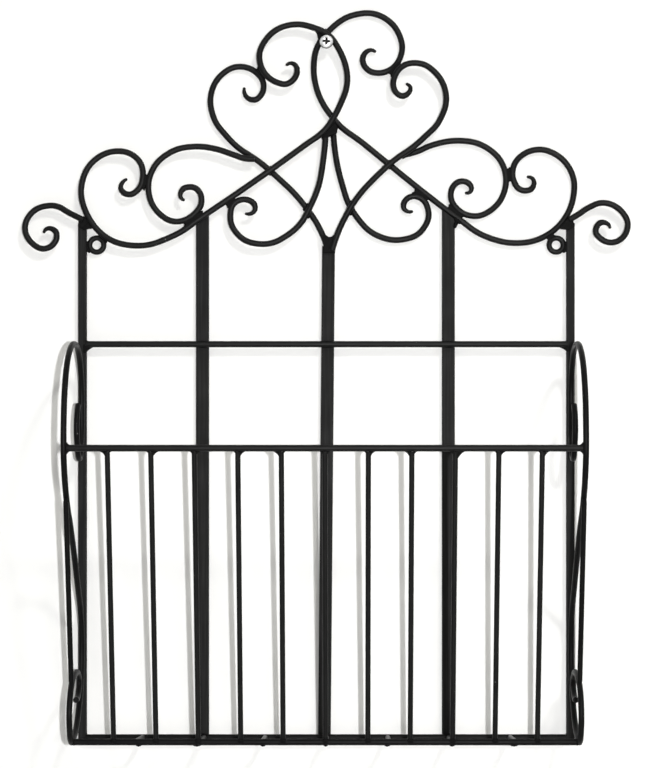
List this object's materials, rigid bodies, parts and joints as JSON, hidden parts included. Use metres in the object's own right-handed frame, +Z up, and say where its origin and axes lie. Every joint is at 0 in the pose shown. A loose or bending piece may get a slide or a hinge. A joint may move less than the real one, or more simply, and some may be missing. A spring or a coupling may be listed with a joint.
{
  "type": "newspaper rack",
  "caption": "Wall-hung newspaper rack of welded black steel rod: a narrow basket of wires between S-shaped ends, on a back frame topped by crossing scrolls.",
  "frame": {"origin": "on the wall plane, on the back of the centre flat bar, level with the axis of the bottom back rail", "axes": "+X to the right seen from the front, +Y from the rack into the wall, +Z up; the rack lies at -Y"},
  "size_m": [0.4546, 0.1394, 0.5463],
  "materials": {
    "black_coat": "satin black powder coat on mild steel",
    "zinc": "bright zinc plate"
  },
  "bodies": {
    "root": {"left_upright": "black_coat", "right_upright": "black_coat", "left_flat_bar": "black_coat", "centre_flat_bar": "black_coat", "right_flat_bar": "black_coat", "back_rail": "black_coat", "bottom_back_rail": "black_coat", "front_rail": "black_coat", "bottom_front_rail": "black_coat", "crown_scroll_left": "black_coat", "crown_scroll_right": "black_coat", "heart_scroll_left": "black_coat", "heart_scroll_right": "black_coat", "leaf_scroll_left": "black_coat", "leaf_scroll_right": "black_coat", "c_scroll_left": "black_coat", "c_scroll_right": "black_coat", "side_curl_left": "black_coat", "side_curl_right": "black_coat", "wall_eyelet_left": "black_coat", "wall_eyelet_right": "black_coat", "side_scroll_left": "black_coat", "side_scroll_right": "black_coat", "corner_rod_left": "black_coat", "corner_rod_right": "black_coat", "front_wire_1": "black_coat", "front_wire_2": "black_coat", "front_wire_3": "black_coat", "front_wire_4": "black_coat", "front_wire_5": "black_coat", "front_wire_6": "black_coat", "front_wire_7": "black_coat", "front_wire_8": "black_coat", "front_wire_9": "black_coat", "front_wire_10": "black_coat", "front_wire_11": "black_coat", "floor_wire_1": "black_coat", "floor_wire_2": "black_coat", "floor_wire_3": "black_coat", "floor_wire_4": "black_coat", "floor_wire_5": "black_coat", "floor_wire_6": "black_coat", "floor_wire_7": "black_coat", "wall_screw": "zinc"}
  },
  "joints": []
}
